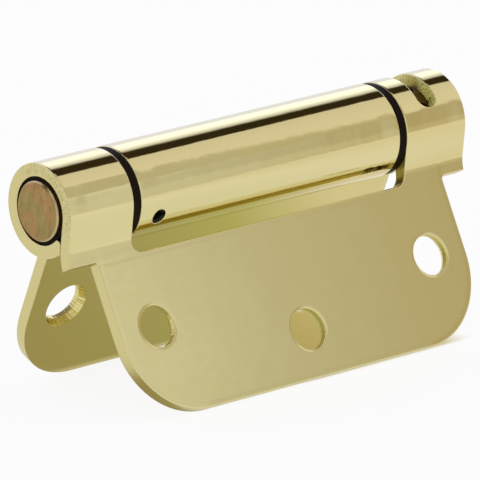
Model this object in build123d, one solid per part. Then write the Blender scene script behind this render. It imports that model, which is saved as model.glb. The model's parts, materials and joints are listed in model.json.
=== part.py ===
"""Self-closing door hinge: two curled leaves on a barrel that holds a torsion spring.

Millimetres, +Z up. The barrel lies along X with its plug end at -X. The hinge stands on the
free edges of its two leaves, the frame leaf towards -Y and the door leaf towards +Y. The
origin is on the ground under the pin axis, halfway along the whole hinge.

Each leaf is drawn hanging straight down from the pin axis with its outer face towards -Y,
and is then swung to its place. The parts in the barrel are drawn around the X axis with
x = 0 at the middle of the leaves.
"""

from build123d import *
import math
import os

os.makedirs("parts", exist_ok=True)

# Leaves: folded sheet, three and a half inches each way when laid open
leaf_height = 88.9
leaf_width = 44.45
sheet = 2.6
corner_radius = 15.875
closed_gap = 1.8
rest_angle = 50.1
edge_break = 0.15
shoulder_drop = 3.15
shoulder_round = 0.8
window_round = 2.4

# Barrel: three curled knuckles with a nylon flange in each gap
barrel_diameter = 18.6
plug_end_overhang = 6.85
adjuster_end_overhang = 5.95
end_knuckle = 15.6
knuckle_gap = 1.9
swage_angle = 34.0
swage_radius = 8.0
seam_gap = 0.2
lip_share = 0.95

# Countersunk screw holes in each leaf
screw_hole_diameter = 8.1
countersink_diameter = 9.7
countersink_angle = 60.0
outer_hole_from_side = 9.15
outer_hole_from_edge = 17.45
middle_hole_from_edge = 9.55

# Slot round the adjuster knuckle, angles from the frame leaf's outward normal
slot_width = 4.6
slot_inset = 8.3
slot_low_angle = 4.45
slot_sweep = 116.0
slot_edge_break = 0.15

# Plug in the other end, held in the centre knuckle by a cross pin
plug_stand_out = 0.75
plug_chamfer = 0.45
plug_grip = 12.3
cross_hole_diameter = 3.2
cross_hole_inset = 4.9
cross_pin_length = 13.4
cross_pin_sink = 0.5
cross_pin_wall = 0.5
cross_pin_slot = 0.7

# Nylon bearings
sleeve_wall = 0.7
flange_inset = 0.15
liner_recess = 0.4
sleeve_to_hole = 0.4

# Tension adjuster
adjuster_recess = 0.5
adjuster_chamfer = 0.4
adjuster_grip = 13.3
head_before_slot = 0.3
pin_hole_count = 6
tension_hole_diameter = 4.0
tension_hole_core = 6.5
socket_width = 5.0
socket_sides = 6
socket_depth = 4.6

# Torsion spring
wire_size = 2.1
coil_play = 1.0
hook_length = 5.9
hook_bend = 2.0

# Clearances
running_play = 0.05
pin_play = 0.03
hook_play = 0.15
end_play = 0.3

# How near two places count as the same
same_place = 0.001

# Worked out from the values above
outer_radius = barrel_diameter / 2
shoulder_depth = outer_radius + shoulder_drop
bore_radius = outer_radius - sheet
inner_face = closed_gap / 2
outer_face = inner_face + sheet
half_opening = rest_angle / 2
outer_hole_spread = leaf_height / 2 - outer_hole_from_side
outer_hole_reach = leaf_width - outer_hole_from_edge
middle_hole_reach = leaf_width - middle_hole_from_edge
barrel_left = -leaf_height / 2 - plug_end_overhang
barrel_right = leaf_height / 2 + adjuster_end_overhang
left_gap_start = barrel_left + end_knuckle
left_gap_end = left_gap_start + knuckle_gap
right_gap_end = barrel_right - end_knuckle
right_gap_start = right_gap_end - knuckle_gap
liner_radius = bore_radius - running_play
journal_radius = liner_radius - sleeve_wall - running_play
plug_inner_end = left_gap_end + plug_grip
adjuster_inner_end = right_gap_start - adjuster_grip
slot_middle = barrel_right - slot_inset
slot_start = slot_middle - slot_width / 2
cross_hole_x = left_gap_end + cross_hole_inset
inner_sleeve = cross_hole_inset - cross_hole_diameter / 2 - sleeve_to_hole
head_start = slot_start - head_before_slot
coil_radius = bore_radius - coil_play - wire_size / 2
coils_start = plug_inner_end + hook_bend
coils_end = adjuster_inner_end - hook_bend
axis_height = leaf_width * math.cos(math.radians(half_opening)) - inner_face * math.sin(
    math.radians(half_opening)
)
shift_x = -(barrel_left - plug_stand_out + barrel_right) / 2


def round_bar(start, end, radius):
    """A cylinder along X from start to end."""
    plane = Plane(origin=(start, 0, 0), x_dir=(0, 1, 0), z_dir=(1, 0, 0))
    return extrude(plane * Circle(radius), end - start)


def spoke(x, angle, start, end, radius):
    """A cylinder square to X, between two distances from the axis.

    The angle is from -Y, and turns upwards.
    """
    turn = math.radians(angle)
    way = Vector(0, -math.cos(turn), math.sin(turn))
    plane = Plane(origin=Vector(x, 0, 0) + way * start, x_dir=(1, 0, 0), z_dir=way)
    return extrude(plane * Circle(radius), end - start)


def on_barrel(radius, angle):
    """A point of the leaf's section, (outwards, up), by its angle from the outward normal."""
    turn = math.radians(angle)
    return Vector(radius * math.cos(turn), radius * math.sin(turn))


# Section of a leaf
def swage_centre():
    """Centre of the bend that sets the flat leaf back from the side of the barrel."""
    turn = math.radians(swage_angle)
    out = outer_face + swage_radius
    down = (outer_radius + swage_radius - out * math.cos(turn)) / math.sin(turn)
    return Vector(out, -down)


def tab_outline(inner_play):
    """Closed outline of the sheet between the curl and the free edge.

    The inner side moves towards the axis by inner_play, and the outer side stays.
    """
    centre = swage_centre()
    thick = sheet + inner_play
    far = swage_radius + thick
    near_start = on_barrel(outer_radius, -swage_angle)
    far_start = on_barrel(outer_radius - thick, -swage_angle)
    near_bend = centre - on_barrel(swage_radius, -swage_angle)
    far_bend = centre - on_barrel(far, -swage_angle)
    near_flat = centre - Vector(swage_radius, 0)
    far_flat = centre - Vector(far, 0)
    near_middle = centre - on_barrel(swage_radius, -swage_angle / 2)
    far_middle = centre - on_barrel(far, -swage_angle / 2)
    near_foot = Vector(outer_face, -leaf_width)
    far_foot = Vector(outer_face - thick, -leaf_width)
    return [
        Line(far_start, near_start),
        Line(near_start, near_bend),
        ThreePointArc(near_bend, near_middle, near_flat),
        Line(near_flat, near_foot),
        Line(near_foot, far_foot),
        Line(far_foot, far_flat),
        ThreePointArc(far_flat, far_middle, far_bend),
        Line(far_bend, far_start),
    ]


def curl_lip(curl):
    """The corner of the curl's free end, where the bore meets the seam."""
    root = on_barrel(bore_radius, -swage_angle)
    bore = [v for v in curl.vertices() if abs(Vector(v).length - bore_radius) < same_place]
    return ShapeList(bore).sort_by_distance(root)[1]


def lip_radius():
    """The rounding of the lip that takes up its share of the seam's straight part."""
    reach = lip_share * tab_outline(seam_gap)[-1].length
    return (reach**2 / (2 * bore_radius - seam_gap) - seam_gap) / 2


def leaf_section():
    """One sheet: the curl round the bore, then the swage, then the flat leaf."""
    ring = Circle(outer_radius) - Circle(bore_radius)
    rest = ring - make_face(tab_outline(seam_gap))
    curl = rest.faces().sort_by(Axis.Y)[-1]
    curl = fillet(curl_lip(curl), lip_radius())
    return curl + make_face(tab_outline(0))


# Outline of a leaf, seen square to it
def strip(left, right, bottom, top):
    """A rectangle between two places along the barrel and two heights."""
    middle = Location(((left + right) / 2, (bottom + top) / 2))
    return middle * Rectangle(right - left, top - bottom)


def upper_corner(cut, side):
    """The upper corner of a cut on its left (0) or right (-1) side."""
    return cut.vertices().group_by(Axis.X)[side].sort_by(Axis.Y)[-1]


def lower_corner(cut, side):
    """The lower corner of a cut on its left (0) or right (-1) side."""
    return cut.vertices().group_by(Axis.X)[side].sort_by(Axis.Y)[0]


def round_free_edge(shape):
    """The two large corners at the free edge of a leaf."""
    return fillet(shape.vertices().group_by(Axis.Y)[0], corner_radius)


def frame_outline():
    """Two tabs that stand out past the leaf's sides, with a window between them."""
    half = leaf_height / 2
    window = strip(left_gap_start, right_gap_end, -shoulder_depth, barrel_diameter)
    window = fillet(window.vertices().group_by(Axis.Y)[0], window_round)
    left = strip(barrel_left, -half, -leaf_width, -shoulder_depth)
    left = fillet(upper_corner(left, -1), shoulder_round)
    right = strip(half, barrel_right, -leaf_width, -shoulder_depth)
    right = fillet(upper_corner(right, 0), shoulder_round)
    blank = strip(barrel_left, barrel_right, -leaf_width, barrel_diameter)
    return round_free_edge(blank - window - left - right)


def door_outline():
    """One tab in the middle, with a shoulder beside it on each side."""
    half = leaf_height / 2
    left = strip(-half, left_gap_end, -shoulder_depth, barrel_diameter)
    left = fillet(lower_corner(left, -1), shoulder_round)
    right = strip(right_gap_start, half, -shoulder_depth, barrel_diameter)
    right = fillet(lower_corner(right, 0), shoulder_round)
    blank = strip(-half, half, -leaf_width, barrel_diameter)
    return round_free_edge(blank - left - right)


# A leaf hanging straight down, outer face towards -Y
def folded_leaf(outline, left, right):
    """The leaf's section run along the barrel and trimmed to its outline."""
    section_plane = Plane(origin=(right, 0, 0), x_dir=(0, -1, 0), z_dir=(-1, 0, 0))
    run = extrude(section_plane * leaf_section(), right - left)
    trim = extrude(Plane.XZ * outline, leaf_width, both=True)
    return run & trim


def is_cut_edge(edge):
    """Whether an edge lies where the sheet's outer surface meets its cut sides."""
    skin = [CenterArc((0, 0), outer_radius, 0, 360), *tab_outline(0)[1:4]]
    one_third, two_thirds = (edge.position_at(share) for share in (1 / 3, 2 / 3))
    for place in (one_third, two_thirds):
        point = Vector(-place.Y, place.Z)
        if min(line.distance_to(point) for line in skin) > same_place:
            return False
    across = (two_thirds - one_third).length - abs(two_thirds.X - one_third.X)
    if across > same_place:
        return True
    cuts = [-shoulder_depth, -leaf_width]
    return min(abs(one_third.Z - height) for height in cuts) < same_place


def break_outside(body):
    """The soft edge that blanking leaves on the outer side of the sheet."""
    return chamfer([edge for edge in body.edges() if is_cut_edge(edge)], edge_break)


def screw_holes(body):
    """Three countersunk holes, wide end on the inner face."""
    places = [
        (-outer_hole_spread, outer_hole_reach),
        (0, middle_hole_reach),
        (outer_hole_spread, outer_hole_reach),
    ]
    for x, reach in places:
        mouth = Plane(origin=(x, -inner_face, -reach), x_dir=(1, 0, 0), z_dir=(0, 1, 0))
        body -= mouth * CounterSinkHole(
            screw_hole_diameter / 2,
            countersink_diameter / 2,
            depth=sheet,
            counter_sink_angle=countersink_angle,
        )
    return body


def adjuster_slot():
    """The round-ended slot that the tension pin travels along."""
    half = slot_width / 2
    end_turn = math.degrees(half / outer_radius)
    low = slot_low_angle + end_turn
    high = slot_low_angle + slot_sweep - end_turn
    near = bore_radius - sheet
    far = outer_radius + sheet
    profile = Pos(slot_middle, -(near + far) / 2) * Rectangle(slot_width, far - near)
    track = revolve(profile, Axis((0, 0, 0), (-1, 0, 0)), high - low)
    track = Rot(X=-low) * track
    for angle in (low, high):
        track += spoke(slot_middle, angle, near, far, half)
    return track


def soften_slot(body):
    """A fine break on the slot's outer edge."""
    slot_end = slot_start + slot_width
    rim = []
    for edge in body.edges():
        box = edge.bounding_box()
        inside = slot_start - same_place < box.min.X and box.max.X < slot_end + same_place
        depths = [outer_radius - math.hypot(v.Y, v.Z) for v in edge.vertices()]
        if inside and max(abs(depth) for depth in depths) < same_place:
            rim.append(edge)
    return chamfer(rim, slot_edge_break)


def swing(body, side):
    """Swings a hanging leaf about the pin axis to where it stands at rest."""
    return Rot(X=side * half_opening) * body


def frame_leaf():
    """The leaf with both end knuckles and the adjuster's slot."""
    body = folded_leaf(frame_outline(), barrel_left, barrel_right)
    body = break_outside(screw_holes(body))
    body = soften_slot(body - adjuster_slot())
    return swing(body, -1)


def door_leaf():
    """The leaf with the long centre knuckle and the hole for the cross pin."""
    half = leaf_height / 2
    body = folded_leaf(door_outline(), -half, half)
    body = break_outside(screw_holes(body))
    near = bore_radius - sheet
    far = outer_radius + sheet
    hole = spoke(cross_hole_x, 180, near, far, cross_hole_diameter / 2)
    return swing(mirror(body - hole, Plane.XZ), 1)


# Pieces in the barrel
def hook_groove(end):
    """An open groove on top of a plug's inner end for the spring's hook."""
    depth = hook_length - hook_bend + end_play
    width = wire_size + 2 * hook_play
    floor = coil_radius - width / 2
    return Pos(end, 0, floor + journal_radius / 2) * Box(2 * depth, width, journal_radius)


def pivot_plug():
    """The round plug that shows in the mouth of the frame leaf's first knuckle."""
    mouth = barrel_left - plug_stand_out
    body = round_bar(mouth, plug_inner_end, journal_radius)
    body = chamfer(body.edges().sort_by(Axis.X)[0], plug_chamfer)
    reach = journal_radius + sheet
    body -= spoke(cross_hole_x, -half_opening, -reach, reach, cross_hole_diameter / 2)
    return body - hook_groove(plug_inner_end)


def cross_pin():
    """A slit tube that ties the plug to the centre knuckle."""
    outside = outer_radius - cross_pin_sink
    inside = outside - cross_pin_length
    radius = cross_hole_diameter / 2 - pin_play
    tube = spoke(cross_hole_x, -half_opening, inside, outside, radius)
    tube -= spoke(cross_hole_x, -half_opening, inside, outside, radius - cross_pin_wall)
    slit = Box(cross_hole_diameter, cross_pin_slot, 2 * (outer_radius + cross_pin_length))
    slit = Pos(cross_hole_x + cross_hole_diameter / 2, 0, 0) * slit
    return tube - Rot(X=90 + half_opening) * slit


def bearing(gap_start, gap_end, sleeve_start, sleeve_end):
    """A nylon flange between two knuckles, with a sleeve into each of them."""
    flange = round_bar(gap_start + running_play, gap_end - running_play, outer_radius - flange_inset)
    sleeve = round_bar(sleeve_start, sleeve_end, liner_radius)
    bore = round_bar(sleeve_start, sleeve_end, journal_radius + running_play)
    return flange + sleeve - bore


def plug_bearing():
    """Lines the plug's knuckle out to its mouth."""
    sleeve_start = barrel_left + liner_recess
    return bearing(left_gap_start, left_gap_end, sleeve_start, left_gap_end + inner_sleeve)


def adjuster_bearing():
    """Ends short of the adjuster's head."""
    sleeve_start = right_gap_start - inner_sleeve
    return bearing(right_gap_start, right_gap_end, sleeve_start, head_start - end_play)


def tension_adjuster():
    """A headed plug with a ring of pin holes under the slot and a hexagon socket."""
    mouth = barrel_right - adjuster_recess
    head = round_bar(head_start, mouth, liner_radius)
    head = chamfer(head.edges().sort_by(Axis.X)[-1], adjuster_chamfer)
    body = head + round_bar(adjuster_inner_end, head_start, journal_radius)
    for number in range(pin_hole_count):
        angle = pin_hole_angle() + 360 * number / pin_hole_count
        body -= spoke(slot_middle, angle, tension_hole_core / 2, outer_radius, tension_hole_diameter / 2)
    socket_plane = Plane(origin=(mouth - socket_depth, 0, 0), x_dir=(0, 1, 0), z_dir=(1, 0, 0))
    hexagon = RegularPolygon(socket_width / 2, socket_sides, major_radius=False)
    body -= extrude(socket_plane * hexagon, socket_depth)
    return body - hook_groove(adjuster_inner_end)


def pin_hole_angle():
    """Angle from -Y of the pin hole that faces the middle of the slot."""
    return half_opening + slot_low_angle + slot_sweep / 2


# Torsion spring of square wire, drawn as the tube that its close turns fill
def hook(start, end):
    """A straight end of the wire, parallel to the barrel."""
    return Pos((start + end) / 2, 0, coil_radius) * Box(end - start, wire_size, wire_size)


def torsion_spring():
    """The coils between the two plugs, with a hook in each plug's groove."""
    coils = round_bar(coils_start, coils_end, coil_radius + wire_size / 2)
    coils -= round_bar(coils_start, coils_end, coil_radius - wire_size / 2)
    coils += hook(coils_start - hook_length, coils_start)
    return coils + hook(coils_end, coils_end + hook_length)


# Files
pieces = {
    "frame_leaf": frame_leaf,
    "door_leaf": door_leaf,
    "pivot_plug": pivot_plug,
    "cross_pin": cross_pin,
    "plug_bearing": plug_bearing,
    "adjuster_bearing": adjuster_bearing,
    "tension_adjuster": tension_adjuster,
    "torsion_spring": torsion_spring,
}
to_ground = Pos(shift_x, 0, axis_height)
for name, make in pieces.items():
    export_step(to_ground * make(), f"parts/{name}.step")
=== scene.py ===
import bpy
import json
import math
from mathutils import Matrix, Vector


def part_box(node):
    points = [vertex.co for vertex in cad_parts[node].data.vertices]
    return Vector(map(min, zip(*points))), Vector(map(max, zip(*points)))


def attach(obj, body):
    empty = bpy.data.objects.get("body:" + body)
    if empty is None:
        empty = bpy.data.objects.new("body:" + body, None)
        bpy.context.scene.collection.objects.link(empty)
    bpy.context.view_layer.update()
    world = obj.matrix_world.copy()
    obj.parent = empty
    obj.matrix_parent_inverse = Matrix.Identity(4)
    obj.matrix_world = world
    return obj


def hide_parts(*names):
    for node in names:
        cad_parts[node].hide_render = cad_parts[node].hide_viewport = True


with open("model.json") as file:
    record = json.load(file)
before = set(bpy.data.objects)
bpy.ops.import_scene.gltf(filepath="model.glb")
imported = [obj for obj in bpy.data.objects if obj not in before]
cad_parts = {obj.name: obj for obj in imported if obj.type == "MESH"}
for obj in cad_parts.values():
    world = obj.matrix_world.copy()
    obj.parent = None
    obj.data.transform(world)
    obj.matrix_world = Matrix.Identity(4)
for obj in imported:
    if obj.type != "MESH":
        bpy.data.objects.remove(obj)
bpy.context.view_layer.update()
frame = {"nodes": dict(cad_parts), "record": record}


# Torsion spring. Square spring wire wound in close turns, with both ends bent to lie along the
# barrel. It is wound hard over a mandrel, oiled, and hidden once the hinge is put together.
class Value:
    """A number that changes over a surface, so that shader maths reads as Python."""

    def __init__(self, finish, socket):
        self.finish = finish
        self.socket = socket

    def maths(self, operation, *numbers):
        return self.finish.node("ShaderNodeMath", {"operation": operation}, *numbers)

    def __add__(self, other):
        return self.maths("ADD", self, other)

    def __radd__(self, other):
        return self.maths("ADD", other, self)

    def __sub__(self, other):
        return self.maths("SUBTRACT", self, other)

    def __rsub__(self, other):
        return self.maths("SUBTRACT", other, self)

    def __mul__(self, other):
        return self.maths("MULTIPLY", self, other)

    def __rmul__(self, other):
        return self.maths("MULTIPLY", other, self)

    def __truediv__(self, other):
        return self.maths("DIVIDE", self, other)

    def __pow__(self, other):
        return self.maths("POWER", self, other)

    def __abs__(self):
        return self.maths("ABSOLUTE", self)

    def at_least(self, low):
        return self.maths("MAXIMUM", self, low)

    def angle_over(self, other):
        """The angle in radians, all the way round, whose tangent is this number over the other."""
        return self.maths("ARCTAN2", self, other)

    def rising(self, low, high):
        """0 below low, 1 above high, and smooth between."""
        settings = {"interpolation_type": "SMOOTHSTEP"}
        return self.finish.node("ShaderNodeMapRange", settings, self, low, high, 0.0, 1.0)

    def falling(self, low, high):
        return 1.0 - self.rising(low, high)

    def near(self, place, reach, soft):
        """1 within reach of a place, fading out over soft."""
        return abs(self - place).falling(reach, reach + soft)


class Finish:
    """A surface finish: one node tree, with one method that adds any node to it."""

    def __init__(self, name, owner=None):
        self.made = owner or bpy.data.materials.new(name)
        self.made.use_nodes = True
        self.tree = self.made.node_tree
        self.tree.nodes.clear()

    def node(self, kind, settings=None, *values, out=0, **named):
        """Adds a node, sets it up, fills its inputs in order or by name, and gives one output."""
        made = self.tree.nodes.new(kind)
        for name, setting in (settings or {}).items():
            if name == "stops":
                self.stops(made.color_ramp, setting)
            else:
                setattr(made, name, setting)
        inputs = [socket for socket in made.inputs if socket.enabled]
        for socket, value in zip(inputs, values):
            self.fill(socket, value)
        for name, value in named.items():
            self.fill(made.inputs[name.replace("_", " ")], value)
        return Value(self, made.outputs[out]) if made.outputs else None

    def stops(self, ramp, stops):
        """Sets a ramp's places and colours."""
        while len(ramp.elements) < len(stops):
            ramp.elements.new(1.0)
        for element, (place, colour) in zip(ramp.elements, stops):
            element.position = place
            element.color = (*colour, 1.0)

    def fill(self, socket, value):
        """Links a value to a socket, or sets a number or colour on it."""
        if value is None:
            return
        if isinstance(value, Value):
            self.tree.links.new(value.socket, socket)
        elif isinstance(value, tuple) and socket.type == "RGBA":
            socket.default_value = (*value, 1.0)
        else:
            socket.default_value = value

    def place(self):
        """The point's place on the piece, as a vector."""
        return self.node("ShaderNodeTexCoord", out="Object")

    def parts(self, vector):
        """A vector's three numbers."""
        made = self.node("ShaderNodeSeparateXYZ", {}, vector).socket.node
        return tuple(Value(self, socket) for socket in made.outputs)

    def unit_noise(self, vector, detail=2.0, rough=0.5):
        """Soft noise from 0 to 1, whose blotches are about one unit of the vector across."""
        settings = {"Scale": 1.0, "Detail": detail, "Roughness": rough}
        return self.node("ShaderNodeTexNoise", {}, Vector=vector, **settings)

    def noise(self, where, size, detail=2.0, rough=0.5, stretch=(1.0, 1.0, 1.0)):
        """Soft noise from 0 to 1, whose blotches are about size across, longer where stretched."""
        density = tuple(1.0 / (size * share) for share in stretch)
        scaled = self.node("ShaderNodeVectorMath", {"operation": "MULTIPLY"}, where, density)
        return self.unit_noise(scaled, detail, rough)

    def mix(self, share, first, second):
        """A colour between two colours."""
        return self.node("ShaderNodeMix", {"data_type": "RGBA"}, share, first, second, out=2)

    def bump(self, height, depth, strength=1.0, normal=None):
        """Normals of a height from 0 to 1 that stands for depth metres."""
        sockets = {"Strength": strength, "Distance": depth, "Height": height, "Normal": normal}
        return self.node("ShaderNodeBump", {}, **sockets)

    def rounded(self, radius):
        """Normals that turn smoothly over a piece's sharp edges."""
        return self.node("ShaderNodeBevel", {"samples": 6}, radius)

    def coat(self, **sockets):
        """Puts the finish on one shader and ends the tree."""
        shader = self.node("ShaderNodeBsdfPrincipled", {}, **sockets)
        self.node("ShaderNodeOutputMaterial", {}, Surface=shader)
        return self.made


def dress(node, finish):
    """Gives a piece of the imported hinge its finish."""
    slots = frame["nodes"][node].data.materials
    for number in range(len(slots)):
        slots[number] = finish


def spring_finish():
    finish = Finish("oiled_spring_wire")
    where = finish.place()
    scale = finish.noise(where, 0.0012, detail=4.0)
    drawn_lines = finish.noise(where, 0.0003, stretch=(1.0, 6.0, 6.0))
    blue_black = (0.10, 0.09, 0.085)
    steel_grey = (0.24, 0.23, 0.22)
    return finish.coat(
        Base_Color=finish.mix(scale, blue_black, steel_grey),
        Metallic=1.0,
        Roughness=0.28 + 0.2 * drawn_lines,
        Normal=finish.bump(drawn_lines, 0.00002),
    )


wire = 0.0021
wire_gap = 0.0004
hook_straight = 0.0039
hook_bend = 0.002
hook_bend_steps = 8
steps_a_turn = 48
spring_low, spring_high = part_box("torsion_spring")
pin_axis = Vector((0.0, 0.0, (spring_low.z + spring_high.z) / 2))
coil = (spring_high.z - spring_low.z) / 2 - wire / 2


def wire_path():
    """The wire's centreline: along the barrel, round the bend, up the coils and the same again.

    It is laid out flat first, by its way round the coil and its place along the barrel.
    """
    first = spring_low.x + hook_straight
    last = spring_high.x - hook_straight
    rise = last - first - 2 * hook_bend
    turns = int(rise / (wire + wire_gap))
    round_coils = 2 * math.pi * turns * coil
    slope = math.atan(rise / round_coils)
    near_hook = [(0.0, spring_low.x)]
    for step in range(hook_bend_steps + 1):
        turn = (math.pi / 2 - slope) * step / hook_bend_steps
        across = hook_bend * (1 - math.cos(turn))
        near_hook.append((across, first + hook_bend * math.sin(turn)))
    far_hook = [(round_coils - s, first + last - x) for s, x in reversed(near_hook)]
    steps = steps_a_turn * turns
    coils = []
    for step in range(1, steps):
        share = step / steps
        coils.append([a + (b - a) * share for a, b in zip(near_hook[-1], far_hook[0])])
    for s, x in near_hook + coils + far_hook:
        turn = s / coil
        yield pin_axis + Vector((x, coil * math.sin(turn), coil * math.cos(turn)))


def tree_of(name, inputs):
    """An empty Geometry Nodes tree that takes a shape and some named sizes."""
    tree = bpy.data.node_groups.new(name, "GeometryNodeTree")
    sockets = {"Geometry": "NodeSocketGeometry", **inputs}
    for title, kind in sockets.items():
        tree.interface.new_socket(title, in_out="INPUT", socket_type=kind)
    tree.interface.new_socket("Geometry", in_out="OUTPUT", socket_type="NodeSocketGeometry")
    return tree


def grow(tree, kind, settings=None, **inputs):
    """Adds a node to a tree, with its settings and its inputs by name."""
    made = tree.nodes.new(kind)
    for name, setting in (settings or {}).items():
        setattr(made, name, setting)
    for name, value in inputs.items():
        title = name.replace("_", " ")
        socket = next(s for s in made.inputs if s.name == title and s.enabled)
        if isinstance(value, bpy.types.NodeSocket):
            tree.links.new(value, socket)
        else:
            socket.default_value = value
    return made


def drawn_wire_tree():
    """Square wire along a path that winds about the pin axis, one side always facing the axis."""
    sizes = {
        "Wire": "NodeSocketFloat",
        "Axis": "NodeSocketVector",
        "Finish": "NodeSocketMaterial",
    }
    tree = tree_of("drawn_wire", sizes)
    given = tree.nodes.new("NodeGroupInput").outputs
    place = grow(tree, "GeometryNodeInputPosition")
    offset = grow(tree, "ShaderNodeVectorMath", {"operation": "SUBTRACT"})
    tree.links.new(place.outputs[0], offset.inputs[0])
    tree.links.new(given["Axis"], offset.inputs[1])
    radial = grow(tree, "ShaderNodeVectorMath", {"operation": "MULTIPLY"})
    tree.links.new(offset.outputs[0], radial.inputs[0])
    radial.inputs[1].default_value = (0.0, 1.0, 1.0)
    turned = grow(
        tree,
        "GeometryNodeSetCurveNormal",
        {"mode": "FREE"},
        Curve=given["Geometry"],
        Normal=radial.outputs[0],
    )
    square = grow(
        tree,
        "GeometryNodeCurvePrimitiveQuadrilateral",
        Width=given["Wire"],
        Height=given["Wire"],
    )
    tube = grow(
        tree,
        "GeometryNodeCurveToMesh",
        Curve=turned.outputs[0],
        Profile_Curve=square.outputs[0],
        Fill_Caps=True,
    )
    real = grow(tree, "GeometryNodeRealizeInstances", Geometry=tube.outputs[0])
    done = grow(
        tree,
        "GeometryNodeSetMaterial",
        Geometry=real.outputs[0],
        Material=given["Finish"],
    )
    end = tree.nodes.new("NodeGroupOutput")
    tree.links.new(done.outputs[0], end.inputs[0])
    return tree


def grown(name, base, tree, inputs):
    """Runs a tree on an object and gives back its result as a plain mesh object."""
    modifier = base.modifiers.new("grow", "NODES")
    modifier.node_group = tree
    items = [item for item in tree.interface.items_tree if item.in_out == "INPUT"]
    sockets = {item.name: item.identifier for item in items}
    for title, value in inputs.items():
        modifier[sockets[title]] = value
    bpy.context.view_layer.update()
    evaluated = base.evaluated_get(bpy.context.evaluated_depsgraph_get())
    mesh = bpy.data.meshes.new_from_object(evaluated)
    mesh.name = name
    bpy.data.objects.remove(base)
    piece = bpy.data.objects.new(name, mesh)
    bpy.context.scene.collection.objects.link(piece)
    return piece


def path_object(name, points):
    """An open run of straight steps through some points."""
    points = list(points)
    curve = bpy.data.curves.new(name, "CURVE")
    curve.dimensions = "3D"
    spline = curve.splines.new("POLY")
    spline.points.add(len(points) - 1)
    for point, place in zip(spline.points, points):
        point.co = (*place, 1.0)
    made = bpy.data.objects.new(name, curve)
    bpy.context.scene.collection.objects.link(made)
    return made


spring = grown(
    "wound_spring",
    path_object("spring_path", wire_path()),
    drawn_wire_tree(),
    {"Wire": wire, "Axis": pin_axis, "Finish": spring_finish()},
)
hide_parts("torsion_spring")
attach(spring, "door_side")


# Pivot plug. A turned steel plug with a thin copper-brown plating that has dried in blotches.
# It is pressed up against the spring and fixed in the door leaf's knuckle by the cross pin.
plug_rim_start = 0.0055
plug_rim_end = 0.0057


def from_pin_axis(across, up):
    """How high a point is above the pin axis, and its distance from the axis."""
    rise = up - pin_axis.z
    return rise, (across * across + rise * rise) ** 0.5


def plug_finish():
    """Blotches and smaller stains, with a painted highlight round the rim of the face, which is
    also smoother.
    """
    finish = Finish("mottled_copper_plate")
    where = finish.place()
    along, across, up = finish.parts(where)
    rise, radius = from_pin_axis(across, up)
    # Painted highlight: the rim of the plug's face is lightened in its colour, and is also made
    # smoother.
    rim_painted_highlight_and_polish = radius.rising(plug_rim_start, plug_rim_end)
    blotches = finish.noise(where, 0.0042, detail=3.0, rough=0.6)
    stains = finish.noise(where, 0.0016, detail=3.0, rough=0.6, stretch=(1.0, 1.0, 1.8))
    grain = finish.noise(where, 0.00035, detail=2.0)
    olive_brown = (0.38, 0.28, 0.09)
    copper = (0.46, 0.265, 0.095)
    straw = (0.52, 0.39, 0.17)
    dark_brown = (0.26, 0.18, 0.07)
    rim_highlight_colour = (0.80, 0.66, 0.38)
    base = finish.mix(blotches.rising(0.42, 0.60), olive_brown, copper)
    base = finish.mix(stains.rising(0.52, 0.68) * 0.45, base, straw)
    base = finish.mix(stains.falling(0.34, 0.46) * 0.45, base, dark_brown)
    # The painted highlight on the rim.
    base = finish.mix(rim_painted_highlight_and_polish * 0.45, base, rim_highlight_colour)
    return finish.coat(
        Base_Color=base,
        Metallic=0.95,
        Roughness=0.32 + 0.2 * grain - 0.2 * rim_painted_highlight_and_polish,
        Normal=finish.bump(grain, 0.00003, normal=finish.rounded(0.00025)),
    )


dress("pivot_plug", plug_finish())


# Bearings. Two black nylon bushes, moulded with a flange that keeps the knuckles apart.
# They push into the knuckles and line them for the plug and the adjuster.
def nylon_finish():
    finish = Finish("black_nylon")
    grain = finish.noise(finish.place(), 0.0004, detail=3.0)
    black = (0.009, 0.005, 0.003)
    brown_black = (0.018, 0.010, 0.006)
    return finish.coat(
        Base_Color=finish.mix(grain, black, brown_black),
        Roughness=0.42 + 0.15 * grain,
        Specular_IOR_Level=0.05,
        Normal=finish.bump(grain, 0.00001),
    )


nylon = nylon_finish()
dress("plug_bearing", nylon)
dress("adjuster_bearing", nylon)


# Tension adjuster. A turned and yellow-plated steel plug with a ring of drilled pin holes.
# A wrench in its socket winds the spring, and a pin through the slot holds it.
def adjuster_finish():
    finish = Finish("yellow_plated_steel")
    where = finish.place()
    turned = finish.noise(where, 0.0004, stretch=(0.5, 8.0, 8.0))
    stain = finish.noise(where, 0.003, detail=3.0)
    dark_plate = (0.06, 0.035, 0.012)
    yellow_plate = (0.20, 0.13, 0.04)
    return finish.coat(
        Base_Color=finish.mix(stain, dark_plate, yellow_plate),
        Metallic=1.0,
        Roughness=0.25 + 0.15 * turned,
        Normal=finish.bump(turned, 0.00002),
    )


dress("tension_adjuster", adjuster_finish())


# Leaves. Steel sheet, blanked, curled into knuckles and set back, then polished and brass plated.
# The frame leaf has the two end knuckles, and the door leaf the long one between them.
leaf_lean = math.radians(25.05)
leaf_middle = 0.000825
leaf_reach = 0.04445
corner_radius = 0.015875
edge_roll = 0.0011
knuckle_radius = 0.0093
end_knuckle = 0.0156
knuckle_gap = 0.0019
bell = 0.005
bend_start = 0.0078
bend_end = 0.0139
hole_reach = 0.0052
hole_rim_start = 0.0041
hole_rim_end = 0.0047
slot_middle = 0.042925
slot_half = 0.0023
edge_fade = 0.0003
torn_from = -0.0035
torn_to = -0.0015
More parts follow.
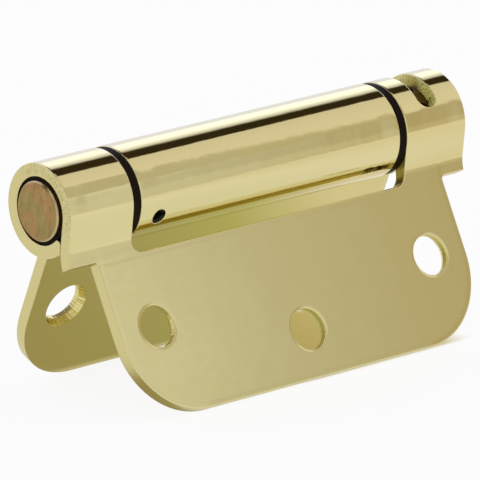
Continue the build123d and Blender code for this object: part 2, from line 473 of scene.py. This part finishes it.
# Where painted shade lies under the barrel beside the right washer: a painted shadow and dark
# reflection of the washer.
washer_shade_place = 0.0288
washer_shade_reach = 0.0028
washer_shade_turn = -2.2
softened_edge = 0.0003
bell_depth = 0.000025
bend_depth = 0.0009
wave_depth = 0.00004
tear_depth = 0.00022
grain_depth = 0.00002
frame_low, frame_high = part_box("frame_leaf")
knuckle_reach = {"frame": (0.0, end_knuckle), "door": (end_knuckle + knuckle_gap,)}


def down_leaf(side, across, rise):
    """How far a point is from the pin axis, down along the leaf."""
    return side * math.sin(leaf_lean) * across - math.cos(leaf_lean) * rise


def screw_holes(leaf, side):
    """The middle of each screw hole, by its place along the barrel and down the leaf."""
    for mount in frame["record"]["mounts"]:
        if mount["name"].startswith(leaf + "_screw"):
            x, y, z = mount["pos_m"]
            yield x, down_leaf(side, y, z - pin_axis.z)


def hole_marks(finish, leaf, side, along, down):
    """Where the screw holes' walls are, the flutes that the punch left in them, and the rims."""
    walls = 0.0
    flutes = 0.0
    rims = 0.0
    flutes_a_radian = 7.0
    own_flutes_a_metre = 1000.0
    for hole_along, hole_down in screw_holes(leaf, side):
        x = along - hole_along
        y = down - hole_down
        from_middle = (x ** 2.0 + y ** 2.0) ** 0.5
        round_hole = x.angle_over(y) * flutes_a_radian
        own_place = hole_along * own_flutes_a_metre
        flute_place = finish.node("ShaderNodeCombineXYZ", {}, round_hole, own_place, 0.0)
        wall = from_middle.falling(hole_reach, hole_reach + edge_fade)
        walls = wall + walls
        flutes = finish.unit_noise(flute_place, detail=1.0) * wall + flutes
        rims = from_middle.falling(hole_rim_start, hole_rim_end) + rims
    return walls, flutes, rims


def knuckle_ends(leaf, along):
    """1 at each end of the leaf's knuckles, where the curling left them a little belled."""
    ends = 0.0
    for reach in knuckle_reach[leaf]:
        for end in (frame_low.x + reach, frame_high.x - reach):
            ends = along.near(end, 0.0, bell) + ends
    return ends


def radial_scores(finish, turn, radius):
    """Fine scores across the curl's ends, on the upper front where the shear dragged."""
    scores_a_radian = 42.0
    scores_a_metre = 600.0
    place = finish.node(
        "ShaderNodeCombineXYZ",
        {},
        turn * scores_a_radian,
        radius * scores_a_metre,
        0.0,
    )
    dragged = abs(turn + 0.75).falling(1.0, 1.6) * radius.rising(0.0068, 0.0076)
    return finish.unit_noise(place).rising(0.50, 0.62) * dragged


def brass_finish(leaf, side):
    """Polished plate on the skin, the shear's grain on cut edges and tears in the punched slot."""
    finish = Finish("brass_plate_" + leaf)
    where = finish.place()
    along, across, up = finish.parts(where)
    facing = finish.node("ShaderNodeTexCoord", out="Normal")
    facing_along, facing_across, facing_up = finish.parts(facing)
    rise, radius = from_pin_axis(across, up)
    turn = across.angle_over(rise)
    down = down_leaf(side, across, rise)

    on_barrel = radius.falling(knuckle_radius + 0.0001, knuckle_radius + 0.0004)
    out_of_leaf = side * math.cos(leaf_lean) * facing_across + math.sin(leaf_lean) * facing_up
    out_of_barrel = (facing_across * across + facing_up * rise) / radius
    leaf_cut = abs(out_of_leaf).falling(0.30, 0.55) * (1.0 - on_barrel)
    barrel_cut = abs(out_of_barrel).falling(0.30, 0.55) * on_barrel
    cut = leaf_cut + barrel_cut
    outer_face = out_of_leaf.rising(0.3, 0.6)

    in_slot = along.near(slot_middle, slot_half + edge_fade, edge_fade)
    torn = barrel_cut * in_slot * across.falling(torn_from, torn_to)
    walls, flutes, rims = hole_marks(finish, leaf, side, along, down)
    square_to_leaf = abs(out_of_leaf).falling(0.62, 0.80)
    drilled = walls * square_to_leaf
    fluted = flutes * square_to_leaf
    past_side = (abs(along - leaf_middle) - (leaf_reach - corner_radius)).at_least(0.0)
    past_foot = (down - (leaf_reach - corner_radius)).at_least(0.0)
    from_edge = corner_radius - (past_side * past_side + past_foot * past_foot) ** 0.5
    scores = radial_scores(finish, turn, radius) * barrel_cut * (1.0 - torn)

    waves = finish.noise(where, 0.007, detail=2.0)
    polish = finish.noise(where, 0.0007, detail=2.0, stretch=(5.0, 1.0, 1.0))
    shear = finish.noise(where, 0.00022, detail=3.0, rough=0.7)
    tears = finish.noise(where, 0.00045, detail=2.0, rough=0.7)
    blots = finish.noise(where, 0.0009, detail=2.0, rough=0.7, stretch=(1.6, 1.0, 1.0))
    # Painted shade: dark blots under the barrel beside the right washer stand in for its shadow
    # and dark reflection.
    near_end = along.near(washer_shade_place, washer_shade_reach, 0.0012)
    underneath = turn.near(washer_shade_turn, 0.07, 0.05)
    washer_painted_shade = blots.falling(0.48, 0.55) * on_barrel * near_end * underneath

    skin = finish.mix(waves, (0.79, 0.70, 0.34), (0.81, 0.72, 0.36))
    sheared = finish.mix(shear, (0.68, 0.59, 0.24), (0.82, 0.73, 0.36))
    dark_score = (0.34, 0.28, 0.10)
    # The torn slot wall's specks: the dark ones are painted shade, the bright yellow ones painted
    # glints.
    tear_painted_shade = (0.10, 0.06, 0.01)
    tear_painted_glint = (1.0, 0.95, 0.28)
    wall_gold = (0.88, 0.77, 0.27)
    washer_shade_brown = (0.10, 0.055, 0.012)
    colour = finish.mix(cut, skin, sheared)
    colour = finish.mix(scores * 0.55, colour, dark_score)
    # Painted glints and painted shade in specks on the torn slot wall.
    colour = finish.mix(torn, colour, finish.mix(tears.rising(0.36, 0.42), tear_painted_shade, tear_painted_glint))
    colour = finish.mix(drilled * 0.6, colour, wall_gold)
    # The painted shade beside the washer.
    colour = finish.mix(washer_painted_shade * 0.9, colour, washer_shade_brown)

    # From the coarsest shape to the finest: each bump starts from the normals of the one before.
    belled = knuckle_ends(leaf, along) * on_barrel
    bent = down.rising(bend_start, bend_end) * outer_face
    rolled = (0.4 * rims * outer_face + from_edge.falling(0.0, edge_roll)) * (1.0 - on_barrel)
    wavy = (0.4 + 0.6 * on_barrel) * waves
    burred = tears * (torn + 0.25 * drilled) + 1.3 * fluted
    buffed = (0.05 + 0.25 * on_barrel) * polish * (1.0 - cut)
    normal = finish.rounded(softened_edge)
    normal = finish.bump(belled, bell_depth, normal=normal)
    normal = finish.bump(bent - 0.1 * rolled, bend_depth, normal=normal)
    normal = finish.bump(wavy, wave_depth, strength=0.45, normal=normal)
    normal = finish.bump(burred, tear_depth, normal=normal)
    normal = finish.bump(buffed + shear * cut - 0.6 * scores, grain_depth, normal=normal)
    return finish.coat(
        Base_Color=colour,
        Metallic=1.0 - 0.85 * torn,
        Roughness=0.055 - 0.02 * on_barrel + 0.045 * polish + 0.24 * cut + 0.15 * torn,
        Normal=normal,
    )


dress("frame_leaf", brass_finish("frame", -1.0))
dress("door_leaf", brass_finish("door", 1.0))


# Cross pin. A rolled spring-steel pin, blackened, driven through the centre knuckle and the plug.
# Its end sits a little below the barrel's surface.
def pin_finish():
    finish = Finish("blackened_pin")
    grain = finish.noise(finish.place(), 0.0004)
    return finish.coat(
        Base_Color=finish.mix(grain, (0.004, 0.004, 0.004), (0.012, 0.011, 0.010)),
        Metallic=0.3,
        Roughness=0.55 + 0.2 * grain,
    )


dress("cross_pin", pin_finish())


# Studio. A white table under a large soft light behind and above, photographed from the plug end.
# Pale walls stand in front, with a narrow dark gap between them and the soft light.
table_front = -0.25
table_size = 6.0
table_drop = 0.0001
paper_end = 0.13
lit_start = -0.045
lit_length = 0.135
# The table's brightness along its length as the brass reflects it. This is painted light:
# brightest and a little blue in the middle, dimmer and warmer at the far end.
paper_painted_light_tones = [
    (0.0, (0.90, 0.91, 0.91)),
    (0.25, (0.90, 0.91, 0.92)),
    (0.5, (0.95, 0.95, 1.01)),
    (1.0, (0.89, 0.86, 0.82)),
]
# A painted glow of brass-coloured light on the table between the leaves, as the brass reflects it.
brass_painted_glow_tones = [
    (0.0, (0.40, 0.36, 0.20)),
    (0.32, (0.47, 0.46, 0.26)),
    (0.53, (0.57, 0.57, 0.28)),
    (0.74, (0.86, 0.82, 0.72)),
]


def table_finish():
    """White paper, evenly bright to the camera, with painted light along it for the brass, and a
    painted brass-coloured glow between and under the leaves.
    """
    finish = Finish("white_table")
    along, across, up = finish.parts(finish.place())
    camera_ray = finish.node("ShaderNodeLightPath", out="Is Camera Ray")
    glossy_ray = finish.node("ShaderNodeLightPath", out="Is Glossy Ray")
    passing_ray = finish.node("ShaderNodeLightPath", out="Is Transmission Ray")
    seen = camera_ray + glossy_ray + passing_ray
    inside = abs(across).falling(0.0185, 0.0205)
    between = along.rising(-0.054, -0.046) * along.falling(0.070, 0.090) * inside
    under = camera_ray * along.rising(-0.004, 0.004) * along.falling(0.034, 0.044) * inside

    lit_place = (along - lit_start) / lit_length
    # Painted light along the table, seen only in reflections.
    paper_painted_light = finish.node("ShaderNodeValToRGB", {"stops": paper_painted_light_tones}, along / paper_end)
    # Painted glow between the leaves, seen in reflections.
    painted_brass_glow = finish.node("ShaderNodeValToRGB", {"stops": brass_painted_glow_tones}, lit_place)
    glow = finish.mix(between, paper_painted_light, painted_brass_glow)
    shine = finish.mix(camera_ray, glow, (1.06, 1.06, 1.06))
    # Painted glow: warm brass-coloured light added to the table under the hinge, where the camera
    # sees it through the holes.
    painted_warm_glow_colour = finish.mix(under, (0.0, 0.0, 0.0), (0.25, 0.18, 0.015))
    painted_warm_glow = finish.node("ShaderNodeEmission", {}, Color=painted_warm_glow_colour, Strength=1.0)
    shaded = finish.node("ShaderNodeBsdfDiffuse", {}, Color=(0.86, 0.86, 0.86))
    bright = finish.node("ShaderNodeEmission", {}, Color=shine, Strength=1.0)
    share = seen * 0.85 * (1.0 - under)
    shown = finish.node("ShaderNodeMixShader", {}, share, shaded, bright)
    lit = finish.node("ShaderNodeAddShader", {}, shown, painted_warm_glow)
    finish.node("ShaderNodeOutputMaterial", {}, Surface=lit)
    return finish.made


def table():
    half = table_size / 2
    back = table_front + table_size
    mesh = bpy.data.meshes.new("table")
    corners = [(-half, table_front), (half, table_front), (half, back), (-half, back)]
    mesh.from_pydata([(x, y, -table_drop) for x, y in corners], [], [(0, 1, 2, 3)])
    mesh.materials.append(table_finish())
    made = bpy.data.objects.new("table", mesh)
    bpy.context.scene.collection.objects.link(made)
    return made


table()

# A way into the room has a turn about the hinge's length in degrees, 0 level in front of it, 90
# straight up and 180 level behind. Its lean along the hinge is about -1 for what the brass shows
# at the plug end, 0 for the middle and 1 for the adjuster end.
lean_middle = 0.6385
lean_spread = 0.021
wall_foot = -40.0


def room_light():
    """The room that the brass shows, by the angle about the hinge, and white to the camera."""
    world = bpy.data.worlds.new("light_room")
    bpy.context.scene.world = world
    room = Finish("light_room", world)
    way = room.node("ShaderNodeTexCoord", out="Generated")
    x, y, z = room.parts(way)
    angle = z.angle_over(0.0 - y) * (180.0 / math.pi)
    turn = angle + 360.0 * angle.falling(-150.1, -150.0)
    lean = room.node("ShaderNodeClamp", {}, (x - lean_middle) / lean_spread, -1.2, 1.2)

    # The soft light, with a brighter middle.
    soft_light = turn.rising(114.0, 123.0) * 0.85 + turn.rising(119.0, 140.0) * 0.15
    soft_light = soft_light + turn.near(142.0, 6.0, 16.0) * lean.rising(-1.19, -1.05) * 0.55

    # The wall in front: an olive lower part, with a bright end at the left, and a pale upper part.
    wall = turn.rising(wall_foot, wall_foot + 1.0) * (turn - 1.5 * lean).falling(92.0, 94.5)
    below = turn.falling(wall_foot, wall_foot + 1.0)
    upper = (turn + 14.0 * lean.at_least(-0.4)).rising(51.3, 53.3)
    left_edge = lean + 0.17 * (turn - 30.9) * turn.rising(28.7, 29.3)
    left = turn.falling(31.2, 32.4) * left_edge.falling(-0.54, -0.45)
    left_level = 0.21 - 0.05 * turn.falling(21.0, 26.0)
    lower = (turn + 8.0 * lean).falling(9.5, 11.5) * (1.0 - left)
    olive = 0.578 - 0.02 * lean - 0.055 * abs(lean) + 0.085 * lower + left * left_level
    wall_level = (1.0 - upper) * olive + upper * (0.915 - 0.002 * turn)
    level = soft_light + wall * wall_level + 0.87 * below

    to_right = lean.rising(0.0, 1.15)
    warm = to_right + (1.0 - to_right) * 0.45 * turn.rising(31.5, 33.0) * (1.0 - lower)
    warm_wall = wall * (1.0 - upper) * (1.0 - left) * warm
    tint = room.mix(warm_wall, (1.0, 1.01, 1.0), (1.0, 0.90, 0.70))
    tint = room.mix(wall * left, tint, (0.98, 1.01, 1.06))
    tint = room.mix(wall * upper, tint, (1.0, 0.965, 1.0))
    tint = room.mix(turn.rising(110.0, 125.0), tint, (0.86, 0.90, 1.18))
    grey = room.node("ShaderNodeCombineColor", {}, level + 0.035, level + 0.024, level + 0.012)
    multiply = {"data_type": "RGBA", "blend_type": "MULTIPLY"}
    lit = room.node("ShaderNodeMix", multiply, 1.0, tint, grey, out=2)
    camera_ray = room.node("ShaderNodeLightPath", out="Is Camera Ray")
    seen = room.mix(camera_ray, lit, (1.0, 1.0, 1.0))
    shader = room.node("ShaderNodeBackground", {}, Color=seen, Strength=1.0)
    room.node("ShaderNodeOutputWorld", {}, Surface=shader)


room_light()

camera_place = (-0.896981, -1.021071, 0.388525)
camera_heading = math.radians(41.286)
camera_drop = math.radians(15.001)
camera_roll = math.radians(-1.456)
lens_length = 545.58


def photograph():
    """A long lens a metre and a half off, from the plug end and a little above."""
    lens = bpy.data.cameras.new("camera")
    lens.sensor_width = 36.0
    lens.lens = lens_length
    lens.clip_start = 0.01
    camera = bpy.data.objects.new("camera", lens)
    bpy.context.scene.collection.objects.link(camera)
    bpy.context.scene.camera = camera
    level = math.cos(camera_drop)
    ahead = Vector((math.sin(camera_heading), math.cos(camera_heading), 0.0))
    look = ahead * level - Vector((0.0, 0.0, math.sin(camera_drop)))
    side = look.cross(Vector((0, 0, 1))).normalized()
    top = side.cross(look)
    side, top = (
        math.cos(camera_roll) * side + math.sin(camera_roll) * top,
        math.cos(camera_roll) * top - math.sin(camera_roll) * side,
    )
    turned = Matrix((side, top, -look)).transposed().to_4x4()
    camera.matrix_world = Matrix.Translation(camera_place) @ turned


photograph()
bpy.context.scene.view_settings.view_transform = "Standard"
